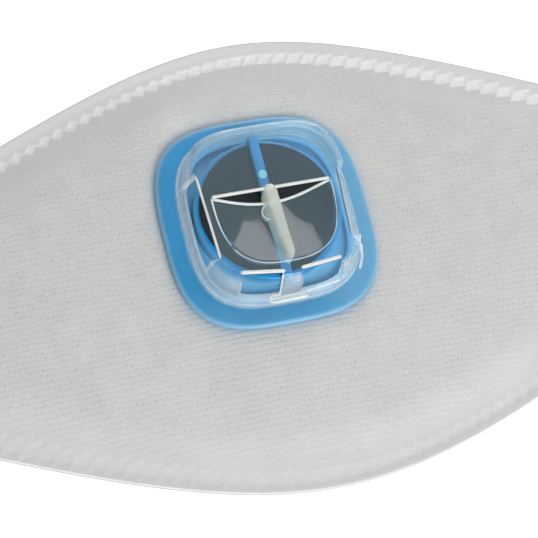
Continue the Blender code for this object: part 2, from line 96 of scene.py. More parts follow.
# --- Camera, lights and floor ---
CAMERA_LENS = 119.7  # on a 36 mm sensor
CAMERA_PLACE = (-0.0920, -0.1240, 0.3587)
CAMERA_RIGHT = Vector((0.9588, -0.2393, 0.1532))
CAMERA_BACK = Vector((-0.2261, -0.3157, 0.9215))
WORLD_POWER, FLOOR_POWER = 0.59, 0.45
FLOOR_HALF, FLOOR_DROP = 3.0, 0.0002


def make_camera():
    """Close-up from the upper front, a little to the left and below."""
    data = bpy.data.cameras.new("camera")
    data.sensor_width = 36.0
    data.lens = CAMERA_LENS
    data.clip_start, data.clip_end = 0.01, 20.0
    camera = bpy.data.objects.new("camera", data)
    scene.collection.objects.link(camera)
    back = CAMERA_BACK.normalized()
    up = back.cross(CAMERA_RIGHT.normalized()).normalized()
    turn = Matrix((up.cross(back), up, back)).transposed()
    camera.matrix_world = Matrix.Translation(CAMERA_PLACE) @ turn.to_4x4()
    scene.camera = camera


def area_light(name, place, target, size, power, colour=(1, 1, 1)):
    """A soft panel of light facing the target, its width level."""
    data = bpy.data.lights.new(name, "AREA")
    data.shape = "RECTANGLE"
    data.size, data.size_y = size
    data.energy = power
    data.color = colour
    lamp = bpy.data.objects.new(name, data)
    away = (Vector(place) - Vector(target)).normalized()
    width = Vector((-away.y, away.x, 0)).normalized()
    turn = Matrix((width, away.cross(width), away)).transposed()
    lamp.matrix_world = Matrix.Translation(place) @ turn.to_4x4()
    scene.collection.objects.link(lamp)


def make_studio():
    """Soft white room, three panels of light, and a pale floor that is clear from below."""
    world = bpy.data.worlds.new("studio")
    world.use_nodes = True
    sky = world.node_tree.nodes["Background"].inputs
    sky["Color"].default_value = (0.99, 0.99, 1.0, 1)
    sky["Strength"].default_value = WORLD_POWER
    scene.world = world
    scene.view_settings.view_transform = "Standard"
    middle = (0, 0, 0.01)
    area_light("key", (0.25, -0.90, 0.62), middle, (0.8, 0.5), 10.2)
    area_light("softbox", (0.28, 0.58, 0.80), middle, (0.36, 0.22), 0.80, (1.0, 0.88, 0.80))
    area_light("back", (0.36, 0.86, 0.34), middle, (0.5, 0.3), 3.4)

    look = Look("floor", (0.90, 0.90, 0.90), 0.7)
    look.feed(look.shader, Emission_Color=(1, 1, 1, 1), Emission_Strength=FLOOR_POWER)
    mix = look.feed(look.node("MixShader"), Fac=look.node("NewGeometry").outputs["Backfacing"])
    look.put(mix.inputs[1], look.shader.outputs["BSDF"])
    look.put(mix.inputs[2], look.node("BsdfTransparent").outputs["BSDF"])
    look.feed(look.tree.nodes["Material Output"], Surface=mix.outputs["Shader"])
    corners = [(x * FLOOR_HALF, y * FLOOR_HALF, -FLOOR_DROP)
               for x, y in ((-1, -1), (1, -1), (1, 1), (-1, 1))]
    new_object("floor", corners, [(0, 1, 2, 3)], [look.material], smooth=False)


# --- Materials ---
class Look:
    """A Principled material and shorthand for wiring nodes into it."""

    def __init__(self, name, colour, roughness, **constant):
        self.material = bpy.data.materials.new(name)
        self.material.use_nodes = True
        self.tree = self.material.node_tree
        self.shader = self.tree.nodes["Principled BSDF"]
        self.feed(self.shader, Base_Color=(*colour, 1), Roughness=roughness, **constant)

    def node(self, kind, **values):
        made = self.tree.nodes.new("ShaderNode" + kind)
        for name, value in values.items():
            setattr(made, name, value)
        return made

    def put(self, socket, value):
        """Link a socket to another node's output, or give it a constant value."""
        if isinstance(value, bpy.types.NodeSocket):
            self.tree.links.new(value, socket)
        else:
            socket.default_value = value

    def feed(self, node, **inputs):
        for name, value in inputs.items():
            self.put(node.inputs[name.replace("_", " ")], value)
        return node

    def math(self, operation, *values, kind="Math"):
        made = self.node(kind, operation=operation)
        for socket, value in zip(made.inputs, values):
            self.put(socket, value)
        return made.outputs[0]

    def times(self, a, b):
        return self.math("MULTIPLY", a, b)

    def plus(self, a, b):
        return self.math("ADD", a, b)

    def minus(self, a, b):
        return self.math("SUBTRACT", a, b)

    def remap(self, value, low, high, to_low=0.0, to_high=1.0):
        made = self.node("MapRange", interpolation_type="SMOOTHSTEP")
        self.feed(made, Value=value, From_Min=low, From_Max=high, To_Min=to_low, To_Max=to_high)
        return made.outputs["Result"]

    def mix(self, factor, a, b):
        made = self.feed(self.node("Mix", data_type="RGBA"), Factor=factor)
        for socket, value in ((made.inputs[6], a), (made.inputs[7], b)):
            self.put(socket, value if isinstance(value, bpy.types.NodeSocket) else (*value, 1))
        return made.outputs[2]

    def where(self, layer=None, scale=(1, 1, 1)):
        """Cloth coordinates in millimetres from a UV layer, or the object's own, scaled."""
        if layer:
            source, unit = self.node("UVMap", uv_map=layer).outputs["UV"], 1.0
        else:
            source, unit = self.node("TexCoord").outputs["Object"], 1 / MM
        made = self.feed(self.node("Mapping"), Vector=source, Scale=[unit * s for s in scale])
        return made.outputs["Vector"]

    def noise(self, vector, scale, detail=3.0, roughness=0.55, distortion=0.0):
        made = self.feed(self.node("TexNoise"), Vector=vector, Scale=scale, Detail=detail,
                         Roughness=roughness, Distortion=distortion)
        return made.outputs["Fac"]

    def attribute(self, name):
        return self.node("Attribute", attribute_name=name).outputs["Fac"]

    def bump(self, height, distance):
        made = self.feed(self.node("Bump"), Distance=distance, Height=height)
        self.feed(self.shader, Normal=made.outputs["Normal"])


def tint(colour, share):
    return [min(c * share, 1) for c in colour]


def weld_teeth(look):
    """The ultrasonic weld's slanted teeth, all upright in the same way, stepped along the seam."""
    rise, along, slope = (look.attribute(name) for name in ("seam_rise", "seam_along", "seam_slope"))
    lean = look.minus(1.0, look.times(slope, WELD_LEAN))
    shift = look.math("DIVIDE", look.times(rise, WELD_LEAN), lean)
    count = look.math("ROUND", look.math("DIVIDE", look.minus(along, shift), WELD_PITCH / MM))
    past = look.minus(along, look.times(count, WELD_PITCH / MM))
    up = look.math("MULTIPLY_ADD", slope, past, rise)
    side = look.math("ABSOLUTE", look.math("MULTIPLY_ADD", up, -WELD_LEAN, past))
    tilt = look.math("MULTIPLY_ADD", look.math("MAXIMUM", slope, 0.0), WELD_TURN, WELD_TILT)
    end = look.math("ABSOLUTE", look.math("MULTIPLY_ADD", past, tilt, up))
    tooth = look.remap(side, WELD_HALF / MM - SIDE_BLUR, WELD_HALF / MM + SIDE_BLUR, 1.0, WELD_BETWEEN)
    ends = look.remap(end, WELD_HEIGHT / MM - END_BLUR, WELD_HEIGHT / MM + END_BLUR, 1.0, 0.0)
    return look.times(tooth, ends)


BOND_STRAY = 0.26  # each bond's random offset, as a share of the pitch
BOND_STRETCH = 4 / 3  # its width over its height
BOND_RADIUS = (0.07, 0.22)  # where its core and its rim end, as shares of the pitch


def nonwoven(name, base, bond, weld, dot_depth, sheen, pitch=1.2):
    """Spunbond web: staggered rows of bond points on a mat of fine fibres."""
    look = Look(name, base, 0.85, Sheen_Weight=sheen, Sheen_Roughness=0.4)
    flat = look.where("cloth")
    wander = look.feed(look.node("TexNoise"), Vector=flat, Scale=0.12).outputs["Color"]
    moved = look.math("MULTIPLY_ADD", wander, (0.9, 0.9, 0.9), flat, kind="VectorMath")
    split = look.feed(look.node("SeparateXYZ"), Vector=moved)
    across = look.math("DIVIDE", split.outputs["X"], pitch)
    along = look.math("DIVIDE", split.outputs["Y"], pitch)
    row = look.math("FLOOR", along)
    odd = look.times(look.math("FLOORED_MODULO", row, 2.0), 0.5)
    shifted = look.plus(across, odd)
    u = look.minus(look.math("FRACT", shifted), 0.5)
    v = look.minus(look.math("FRACT", along), 0.5)
    cell = look.feed(look.node("CombineXYZ"), X=look.math("FLOOR", shifted), Y=row).outputs["Vector"]
    chance = look.feed(look.node("TexWhiteNoise", noise_dimensions="3D"), Vector=cell)
    stray = look.feed(look.node("SeparateColor"), Color=chance.outputs["Color"])
    spot_u, spot_v = (look.plus(at, look.math("MULTIPLY_ADD", by, BOND_STRAY, -BOND_STRAY / 2))
                      for at, by in ((u, stray.outputs[0]), (v, stray.outputs[1])))
    spot_u = look.times(spot_u, 1 / BOND_STRETCH)
    squared = look.plus(look.times(spot_u, spot_u), look.times(spot_v, spot_v))
    dot = look.remap(look.math("SQRT", squared), *BOND_RADIUS, 1.0, 0.0)
    rib = look.math("COSINE", look.times(v, TAU))
    fibre = look.noise(look.where("cloth", (0.7, 1.6, 1)), 2.6, 5.0, 0.62, 1.6)
    cloud = look.noise(flat, 0.10, 4.0, 0.6, 0.4)
    presence = look.remap(look.noise(flat, 0.35, 2.0), 0.25, 0.6, 0.45, 1.0)
    margin = look.minus(1.0, look.attribute("margin"))
    teeth = weld_teeth(look)
    strength = look.attribute("seam_weld")
    drawn = look.times(teeth, strength)
    seam = look.math("MAXIMUM", look.attribute("weld"), drawn)
    # painted highlights: scattered glints on the weld's teeth
    glint = look.times(look.remap(look.noise(flat, 0.9, 2.0), 0.56, 0.68), 0.45)
    glint = look.times(glint, drawn)
    # lighter along the plain strip; on the front panel its fade inwards past the weld is painted light
    strip = look.times(look.attribute("margin"), strength)
    dot = look.times(look.times(dot, presence), margin)

    tone = look.mix(look.remap(cloud, 0.3, 0.7), tint(base, 0.97), tint(base, 1.03))
    tone = look.mix(look.times(look.remap(fibre, 0.35, 0.7), 0.25), tone, tint(base, 1.10))
    # each bond point's tone runs at random from its own darker bond colour to a painted highlight, a glint
    bond_tone_and_glint = look.mix(look.remap(chance.outputs["Value"], 0.20, 0.75), bond, tint(base, 1.28))
    tone = look.mix(look.times(dot, 0.75), tone, bond_tone_and_glint)
    tone = look.mix(strip, tone, tint(base, 1.12))
    tone = look.mix(seam, tone, weld)
    # painted glints, lighter than the weld
    tone = look.mix(glint, tone, tint(weld, 1.3))
    # painted light: the flange's blue thrown on the cloth around it
    tone = look.mix(look.attribute("halo"), tone, (0.14, 0.36, 0.56))
    gloss = look.plus(look.times(dot, -0.25), 0.86)
    look.feed(look.shader, Base_Color=tone, Roughness=look.minus(gloss, look.times(seam, 0.30)))

    height = look.times(dot, -dot_depth)
    height = look.plus(height, look.times(look.times(rib, margin), -0.24 * dot_depth))
    height = look.plus(height, look.times(fibre, 0.9 * dot_depth))
    calm = look.minus(1.0, look.times(seam, 0.8))
    look.bump(look.times(height, calm), MM)
    return look.material


def plastic(name, colour, roughness, grain=0.02, pale=None, **constant):
    """Moulded plastic with a faint uneven gloss and fine surface grain."""
    look = Look(name, colour, roughness, **constant)
    place = look.where()
    mottle = look.noise(place, 0.35, 3.0)
    fine = look.noise(place, 6.0, 3.0)
    tone = look.mix(look.remap(mottle, 0.3, 0.7), tint(colour, 0.95), tint(colour, 1.04))
    if pale:
        # blends to the pale colour by the rim attribute, which holds painted light and shade as well as the
        # thin edge's own paler tone
        tone = look.mix(look.times(look.attribute("rim"), 0.75), tone, pale)
    look.feed(look.shader, Base_Color=tone, Roughness=look.plus(look.times(mottle, 0.16), roughness - 0.08))
    look.bump(fine, grain * MM)
    return look.material


def fibre_mat(name, colour, scale, depth):
    """Loose fibres without a bond pattern."""
    look = Look(name, colour, 0.95, Sheen_Weight=0.2, Sheen_Roughness=0.5)
    place = look.where("cloth", (0.8, 1.3, 1))
    fibre = look.noise(place, scale, 6.0, 0.65, 2.0)
    clump = look.noise(place, scale * 0.15, 3.0)
    tone = look.mix(look.remap(fibre, 0.3, 0.7), tint(colour, 0.86), colour)
    tone = look.mix(look.times(clump, 0.3), tone, tint(colour, 0.93))
    look.feed(look.shader, Base_Color=tone)
    look.bump(fibre, depth * MM)
    return look.material


def foam_look():
    """Open-cell foam: small dark pores of uneven size."""
    look = Look("nose_foam", (0.10, 0.105, 0.115), 0.95, Sheen_Weight=0.1)
    place = look.where("cloth")
    cells = look.feed(look.node("TexVoronoi"), Vector=place, Scale=2.2)
    pore = look.remap(cells.outputs["Distance"], 0.12, 0.5)
    tone = look.mix(pore, (0.035, 0.037, 0.042), (0.13, 0.135, 0.145))
    look.feed(look.shader, Base_Color=tone)
    look.bump(pore, 0.12 * MM)
    return look.material


def metal(name, colour, roughness, grain_scale):
    """Bare metal with drawing lines along its length and a few dull patches."""
    look = Look(name, colour, roughness, Metallic=1.0)
    lines = look.noise(look.where(None, grain_scale), 1.0, 4.0)
    patch = look.noise(look.where(), 0.4, 2.0)
    tone = look.mix(look.remap(patch, 0.35, 0.7), tint(colour, 0.88), colour)
    look.feed(look.shader, Base_Color=tone, Roughness=look.plus(look.times(lines, 0.25), roughness - 0.1))
    look.bump(lines, 0.01 * MM)
    return look.material


def strap_look():
    """Elastic webbing: covered cords along it, knit stitches across it."""
    colour = (0.62, 0.63, 0.64)
    look = Look("strap_elastic", colour, 0.8, Sheen_Weight=0.25, Sheen_Roughness=0.4)
    place = look.where("cloth")
    split = look.feed(look.node("SeparateXYZ"), Vector=place)
    stitch = look.math("SINE", look.times(split.outputs["X"], TAU / 0.55))
    cord = look.math("SINE", look.times(split.outputs["Y"], TAU / 0.333))
    knit = look.times(look.plus(look.times(stitch, cord), 1.0), 0.5)
    fuzz = look.noise(place, 5.0, 5.0, 0.65, 1.0)
    tone = look.mix(look.times(knit, 0.6), tint(colour, 0.80), tint(colour, 1.08))
    tone = look.mix(look.times(fuzz, 0.4), tone, tint(colour, 0.9))
    look.feed(look.shader, Base_Color=tone)
    height = look.plus(look.times(knit, 0.7), look.times(fuzz, 0.3))
    look.bump(height, 0.06 * MM)
    return look.material


def clear_look(name, colour, milk, roughness, gloss=1.0):
    """See-through plastic with a little haze in it, and a glossy skin."""
    return plastic(name, colour, roughness, 0.0, Transmission_Weight=1 - milk, IOR=1.06,
                   Coat_Weight=gloss, Coat_Roughness=0.08, Coat_IOR=1.5)


# --- Mesh helpers ---
def new_object(name, points, faces, materials, kinds=None, smooth=True):
    mesh = bpy.data.meshes.new(name)
    mesh.from_pydata(np.asarray(points, float).tolist(), [], [tuple(f) for f in faces])
    for material in materials:
        mesh.materials.append(material)
    if kinds is not None:
        mesh.polygons.foreach_set("material_index", np.asarray(kinds, np.int32))
    mesh.polygons.foreach_set("use_smooth", np.full(len(mesh.polygons), smooth))
    mesh.update()
    piece = bpy.data.objects.new(name, mesh)
    scene.collection.objects.link(piece)
    return piece


def mark(piece, source=slice(None), **fields):
    """Give each vertex a number for every named field; source is each vertex's place in the fields."""
    for name, values in fields.items():
        layer = piece.data.attributes.new(name, "FLOAT", "POINT")
        layer.data.foreach_set("value", np.asarray(values.ravel()[source], np.float32))


def add_uv(piece, name, u, v):
    """Give each vertex a flat place, in millimetres."""
    mesh = piece.data
    layer = mesh.uv_layers.new(name=name)
    index = np.zeros(len(mesh.loops), np.int64)
    mesh.loops.foreach_get("vertex_index", index)
    flat = np.stack([np.asarray(u)[index], np.asarray(v)[index]], 1)
    layer.data.foreach_set("uv", flat.astype(np.float32).ravel())


def slab(name, x, y, top, bottom, materials, keep=None):
    """Closed cloth between two surfaces over a grid of points; keep chooses its cells."""
    columns, rows = x.shape
    count = columns * rows
    ids = np.arange(count).reshape(columns, rows)
    cells = np.stack([ids[:-1, :-1], ids[1:, :-1], ids[1:, 1:], ids[:-1, 1:]], -1).reshape(-1, 4)
    if keep is not None:
        cells = cells[keep.reshape(-1)]
    edges = np.concatenate([cells[:, [a, (a + 1) % 4]] for a in range(4)])
    key = np.minimum(edges[:, 0], edges[:, 1]) * count + np.maximum(edges[:, 0], edges[:, 1])
    _, first, uses = np.unique(key, return_index=True, return_counts=True)
    rim = edges[first[uses == 1]]
    sides = np.stack([rim[:, 1], rim[:, 0], rim[:, 0] + count, rim[:, 1] + count], -1)
    faces = np.concatenate([cells, cells[:, ::-1] + count, sides])
    used, faces = np.unique(faces, return_inverse=True)
    flat_x, flat_y = np.tile(x.ravel(), 2), np.tile(y.ravel(), 2)
    points = np.stack([flat_x, flat_y, np.concatenate([top.ravel(), bottom.ravel()])], 1)[used]
    piece = new_object(name, points, faces.reshape(-1, 4), materials)
    add_uv(piece, "cloth", points[:, 0] / MM, points[:, 1] / MM)
    return piece, used % count


def ring(half, z, exponent=2.0, centre=(0.0, 0.0), count=128):
    """A rounded-square loop of points at one level."""
    angle = (np.arange(count) + 0.5) * TAU / count
    c, s = np.cos(angle), np.sin(angle)
    x = np.sign(c) * np.abs(c) ** (2 / exponent) * half[0] + centre[0]
    y = np.sign(s) * np.abs(s) ** (2 / exponent) * half[1] + centre[1]
    return np.stack([x, y, np.full(count, z)], 1)


def loft(name, rings, materials, kinds=None, closed=True):
    """Skin a list of loops; closed joins the last to the first, otherwise both ends are capped."""
    count = len(rings[0])
    points = np.concatenate(rings)
    step = np.arange(count)
    faces, marks = [], []
    spans = len(rings) if closed else len(rings) - 1
    for level in range(spans):
        low, high = level * count, (level + 1) % len(rings) * count
        faces += [(low + a, low + b, high + b, high + a) for a, b in zip(step, (step + 1) % count)]
        marks += [kinds[level] if kinds else 0] * count
    if not closed:
        faces.append(tuple(step[::-1]))
        faces.append(tuple((len(rings) - 1) * count + step))
        marks += [kinds[0] if kinds else 0, kinds[-1] if kinds else 0]
    return new_object(name, points, faces, materials, marks)


def prism(name, outline, low, high, material):
    """An upright block over a plan outline, for cutting or joining."""
    flat = list(outline)
    area = sum(a[0] * b[1] - b[0] * a[1] for a, b in zip(flat, flat[1:] + flat[:1]))
    if area < 0:
        flat.reverse()
    count = len(flat)
    points = [(x, y, low) for x, y in flat] + [(x, y, high) for x, y in flat]
    faces = [tuple(range(count))[::-1], tuple(range(count, 2 * count))]
    faces += [(i, (i + 1) % count, (i + 1) % count + count, i + count) for i in range(count)]
    return new_object(name, points, faces, [material], smooth=False)


def carve(piece, steps):
    """Apply a list of (operation, object) Booleans to a piece and remove the tools."""
    for operation, other in steps:
        modifier = piece.modifiers.new(other.name, "BOOLEAN")
        modifier.operation = operation
        modifier.object = other
        modifier.solver = "EXACT"
        modifier.material_mode = "TRANSFER"
    bake(piece)
    for _, other in steps:
        bpy.data.objects.remove(other, do_unlink=True)


def bake(piece):
    """Replace a piece's mesh by what its modifiers make of it."""
    bpy.context.view_layer.update()
    graph = bpy.context.evaluated_depsgraph_get()
    mesh = bpy.data.meshes.new_from_object(piece.evaluated_get(graph), preserve_all_data_layers=True,
                                           depsgraph=graph)
    piece.modifiers.clear()
    piece.data = mesh
    mesh.name = piece.name


def soften(piece, width, segments=2, angle=35, shade=40):
    """Round a piece's sharp edges, where a width is given, and smooth what is nearly flat."""
    if width:
        modifier = piece.modifiers.new("rounding", "BEVEL")
        modifier.width = width
        modifier.segments = segments
        modifier.limit_method = "ANGLE"
        modifier.angle_limit = math.radians(angle)
        modifier.use_clamp_overlap = True
        bake(piece)
    piece.data.set_sharp_from_angle(angle=math.radians(shade))


def read_points(mesh):
    points = np.zeros(len(mesh.vertices) * 3)
    mesh.vertices.foreach_get("co", points)
    return points.reshape(-1, 3)


# --- The mask's outline, surface and weld ---
def smooth(value, low, high):
    t = np.clip((np.asarray(value, float) - low) / (high - low), 0, 1)
    return t * t * (3 - 2 * t)


def tab_rounding(x):
    past = np.clip(np.abs(x) - (HALF_WIDTH - TAB_CORNER), 0, TAB_CORNER)
    return TAB_CORNER - np.sqrt(TAB_CORNER ** 2 - past ** 2)


def top_edge(x):
    return HALF_HEIGHT - TOP_SLOPE * (np.hypot(x, TOP_APEX) - TOP_APEX) - tab_rounding(x)


def bottom_edge(x):
    return BOTTOM_SLOPE * (np.hypot(x, BOTTOM_APEX) - BOTTOM_APEX) + tab_rounding(x) - HALF_HEIGHT


def dome(x, y):
    """How far the front panel stands above its edges."""
    high, low = top_edge(x), bottom_edge(x)
    along = (2 * y - high - low) / (high - low)
    flank = DOME_RISE * np.clip(1 - (x / HALF_WIDTH) ** 2, 0, 1) * np.clip(1 - along ** 2, 0, 1)
    return flank / (1 + (flank / PLATEAU) ** DOME_BLEND) ** (1 / DOME_BLEND)


def edge_depth(x, y, edge, sign):
    """Distance in from a seam's edge, and the edge's slope there."""
    fine = np.linspace(0, HALF_WIDTH, 800)
    slope = np.interp(np.abs(x), fine, np.gradient(edge(fine), fine))
    return sign * (edge(x) - y) / np.hypot(1, slope), np.sign(x) * slope


def seam_rise(depth, slope, middle, sign):
    """Height over the weld's middle line, which lies this far in from the edge."""
    return sign * (middle - depth) * np.hypot(1, slope)


def weld_mark(x, rise, slope):
    """The ultrasonic weld's slanted teeth."""
    count = np.round((x - rise * WELD_LEAN / (1 - WELD_LEAN * slope)) / WELD_PITCH)
    past = x - count * WELD_PITCH
    up = rise + slope * past
    tooth = 1 - smooth(np.abs(past - WELD_LEAN * up), WELD_HALF - 0.0003, WELD_HALF)
    tilt = WELD_TILT + WELD_TURN * np.maximum(slope, 0)
    return tooth * (1 - smooth(np.abs(up + tilt * past), WELD_HEIGHT - 0.0004, WELD_HEIGHT))


def flange_reach(x, y):
    """1 on the flange's outline, less inside it."""
    return ((np.abs(x - VALVE.x) / FLANGE_HALF[0]) ** FLANGE_SQUARE
            + (np.abs(y - VALVE.y) / FLANGE_HALF[1]) ** FLANGE_SQUARE) ** (1 / FLANGE_SQUARE)


def waves(x, y, scale, seed):
    """Soft unevenness, from -1 to 1."""
    phases = np.random.default_rng(seed).uniform(0, TAU, (7, 2))
    total = np.zeros_like(x)
    for step, (turn, shift) in enumerate(phases):
        size = scale * (0.7 + 0.22 * step)
        total += np.sin((x * math.cos(turn) + y * math.sin(turn)) * TAU / size + shift)
    return total / len(phases) * 1.6


def column_rows(low, high, inner):
    """Heights of a column's points, close together near both edges."""
    near = np.arange(FINE_ROWS) * FINE_STEP
    middle = np.linspace(0, 1, inner + 2)[1:-1]
    low, high = low[:, None], high[:, None]
    start, stop = low + near[-1], high - near[-1]
    spread = start + (stop - start) * middle[None]
    return np.concatenate([low + near[None], spread, high - near[::-1][None]], 1)


def grid(x, y):
    return np.meshgrid(x, y, indexing="ij")


# --- Front panel ---
def front_columns(fine):
    straight = np.linspace(-HALF_WIDTH + TAB_CORNER, HALF_WIDTH - TAB_CORNER, fine)
    corner = HALF_WIDTH - TAB_CORNER + TAB_CORNER * np.sin(np.linspace(0, math.pi / 2, 9)[1:])
    return np.concatenate([-corner[::-1], straight, corner])


def front_surface(x, y):
    """Top of the front panel's outer web, and what shapes it."""
    depth_top, slope_top = edge_depth(x, y, top_edge, 1)
    depth_low, slope_low = edge_depth(x, y, bottom_edge, -1)
    depth = np.minimum(depth_top, depth_low)
    rise_top = seam_rise(depth_top, slope_top, WELD_TOP, 1)
    rise_low = seam_rise(depth_low, slope_low, WELD_LOW, -1)
    weld = DENT_TOP * weld_mark(x, rise_top, slope_top) + DENT_LOW * weld_mark(x, rise_low, slope_low)
    upper = depth_top < depth_low
    seam = {"seam_rise": np.where(upper, rise_top, rise_low) / MM, "seam_along": x / MM,
            "seam_slope": np.where(upper, slope_top, slope_low),
            "seam_weld": np.where(upper, 1.0, LOW_WELD)}
    near_flange = 1 - smooth(flange_reach(x, y), 1.0, 1.5)
    rise = dome(x, y) * smooth(depth, 0.0012, 0.0125) ** 0.7
    soft = smooth(depth, 0.004, 0.016) * (1 - near_flange)
    rise = rise + soft * (0.00030 * waves(x, y, 0.034, 3) + 0.00010 * waves(x, y, 0.009, 5))
    under = VALVE.z - 0.00004 - FRONT_TOP
    rise = rise + (under - rise) * near_flange
    groove = smooth(depth, 0.0008, 0.0022) * (1 - smooth(depth, 0.0040, 0.0062))
    press = 1 - smooth(depth, *PRESS)
    top = FRONT_TOP + rise - 0.00040 * press - 0.00012 * groove - weld
    # lighter on the plain strip outside the weld; beyond it a painted brightening fades inwards to 17 mm,
    # standing in for the shade that deepens towards the valve
    margin = 0.65 * (1 - smooth(depth, *MARGIN)) + 0.35 * (1 - smooth(depth, 0.0060, 0.0170))
    return top, press, margin, seam


def trim_hole(piece):
    """Bring the rim of the valve's hole onto its circle."""
    points = read_points(piece.data)
    middle = np.array((VALVE.x, VALVE.y + SEAT_Y))
    offset = points[:, :2] - middle
    away = np.hypot(offset[:, 0], offset[:, 1])
    close = away < HOLE_RADIUS + FINE_STEP
    points[close, :2] = middle + offset[close] / away[close, None] * HOLE_RADIUS
    piece.data.vertices.foreach_set("co", points.ravel())
    piece.data.update()


def front_layer(name, finish, columns, inner, level, thickness, shrink, node):
    """One of the front panel's layers; level counts the layers above it."""
    x = front_columns(columns)
    y = column_rows(bottom_edge(x) + shrink, top_edge(x) - shrink, inner)
    x = np.repeat(x[:, None], y.shape[1], 1) * (1 - shrink / HALF_WIDTH)
    top, press, margin, seam = front_surface(x, y)
    above = [0.0, WEB + GAP, WEB + MEDIA + 2 * GAP][level]
    pressed = [0.0, 0.00038, 0.00078][level]
    thick = thickness - (thickness - WEB) * press if thickness > WEB else thickness
    down = above + (pressed - above) * press
    top = top - down
    bottom = top - thick
    cx, cy = (x[:-1, :-1] + x[1:, 1:]) / 2, (y[:-1, :-1] + y[1:, 1:]) / 2
    keep = np.hypot(cx - VALVE.x, cy - VALVE.y - SEAT_Y) > HOLE_RADIUS
    piece, source = slab(name, x, y, top, bottom, [finish], keep)
    # painted light: the flange's blue on the outer web, fading away from its outline
    halo = PAINTED_GLOW * np.exp(-(np.clip(flange_reach(x, y) - 1.0, 0, 1) / PAINTED_GLOW_REACH) ** 1.2)
    mark(piece, source, margin=margin, halo=halo if level == 0 else 0 * halo, **seam)
    trim_hole(piece)
    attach(piece, "front")
    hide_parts(node)
    declare_sheet(piece)


def declare_sheet(piece):
    """Read a cloth piece's points; nothing is done with them."""
    points = read_points(piece.data)


# --- Rear panels ---
def rear_frame(side):
    """Edge, sign, free edge, the turn's reach, and the line where a rear panel would start to turn; nothing
    turns it.
    """
    if side == "upper":
        edge, sign, free, ease = top_edge, 1, UPPER_FREE, 0.028
    else:
        edge, sign, free, ease = bottom_edge, -1, LOWER_FREE, 0.026
    start = float(edge(np.array(STRIP_X))) - sign * 0.002
    finish = float(edge(np.array(REAR_HALF))) - sign * 0.002
    slope = (finish - start) / (REAR_HALF - STRIP_X)
    return edge, sign, free, ease, start, slope


def rear_piece(piece, side, part, node):
    """Work out where a piece of a rear panel would start to turn, which nothing uses, bake its place into
    its mesh, and hide the CAD part behind the middle strip.
    """
    _, sign, _, ease, start, slope = rear_frame(side)
    if part == "middle":
        begin, finish = (0, start, 0), (0, start - sign * ease, 0)
    else:
        turn = 1 if part == "right" else -1
        size = math.hypot(1, slope)
        reach = ease / size
        begin = (turn * STRIP_X, start, 0)
        finish = (begin[0] + turn * sign * slope / size * reach, start - sign * reach / size, 0)
    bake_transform(piece)
    if part == "middle":
        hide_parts(node)


def strips(half):
    return (("left", -half, -STRIP_X), ("middle", -STRIP_X, STRIP_X), ("right", STRIP_X, half))


def rear_surface(side, x, y, level):
    """Lower and upper face of a rear panel's layer, and its marks; level 0 is the outer web."""
    edge, sign, free = rear_frame(side)[:3]
    depth, slope = edge_depth(x, y, edge, sign)
    rise = seam_rise(depth, slope, WELD_TOP if side == "upper" else WELD_LOW, sign)
    press = 1 - smooth(depth, *PRESS)
    low = [0.0, WEB + GAP, WEB + MEDIA + 2 * GAP][level]
    thick = [WEB, MEDIA, WEB][level]
    pressed_low = 0.00118 + [0.0, 0.00038, 0.00072][level]
    pressed_thick = [0.00035, 0.00032, 0.00034][level]
    low = low + (pressed_low - low) * press
    thick = thick + (pressed_thick - thick) * press
    puff = smooth(depth, 0.006, 0.016)
    lift = puff * 0.00006 * waves(x, y, 0.012, 11)
    dent = DENT_REAR * weld_mark(x, rise, slope) * (1 if level == 0 else 0)
    from_free = np.abs(y - free)
    hem = from_free < HEM
    from_dot = np.mod(x, HEM_PITCH) - HEM_PITCH / 2
    dots = np.exp(-(from_dot / 0.0006) ** 2 - ((from_free - HEM / 2) / 0.0004) ** 2)
    lift = np.where(hem, 0, lift)
    bottom = np.maximum(low + lift, 0.0) + dent
    marks = {"weld": dots * REAR_WELD, "margin": 1 - smooth(depth, *MARGIN), "seam_rise": rise / MM,
             "seam_along": x / MM, "seam_slope": slope, "seam_weld": np.full(x.shape, REAR_WELD)}
    return bottom, np.maximum(bottom + 0.0001, low + thick + lift), marks


def rear_panel(side, finishes):
    edge, sign, free = rear_frame(side)[:3]
    layers = (("outer_web", "outer_nonwoven", 0.0), ("filter_media", "filter_media", 0.00025),
              ("inner_web", "inner_nonwoven", 0.00012))
    for level, (layer, slot_name, shrink) in enumerate(layers):
        stop = free
        if layer == "filter_media" and side == "upper":
            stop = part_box("upper_panel_filter_media")[0].y
        for part, low_x, high_x in strips(REAR_HALF - shrink):
            fine = REAR_STEP if level != 1 else 0.0016
            x = np.linspace(low_x, high_x, int((high_x - low_x) / fine) + 1)
            seam = edge(x) - sign * shrink
            near = np.arange(REAR_ROWS) * REAR_STEP
            rest = np.linspace(0, 1, 30)[1:]
            start = seam - sign * near[-1]
            y = np.concatenate([seam[:, None] - sign * near[None],
                                start[:, None] + (stop - start)[:, None] * rest[None]], 1)
            if sign > 0:
                y = y[:, ::-1]
            xx = np.repeat(x[:, None], y.shape[1], 1)
            bottom, top, marks = rear_surface(side, xx, y, level)
            piece, source = slab(f"{side}_panel_{layer}_{part}", xx, y, top, bottom, [finishes[level]])
            mark(piece, source, **marks)
            rear_piece(piece, side, part, f"{side}_panel_{layer}")
            declare_sheet(piece)


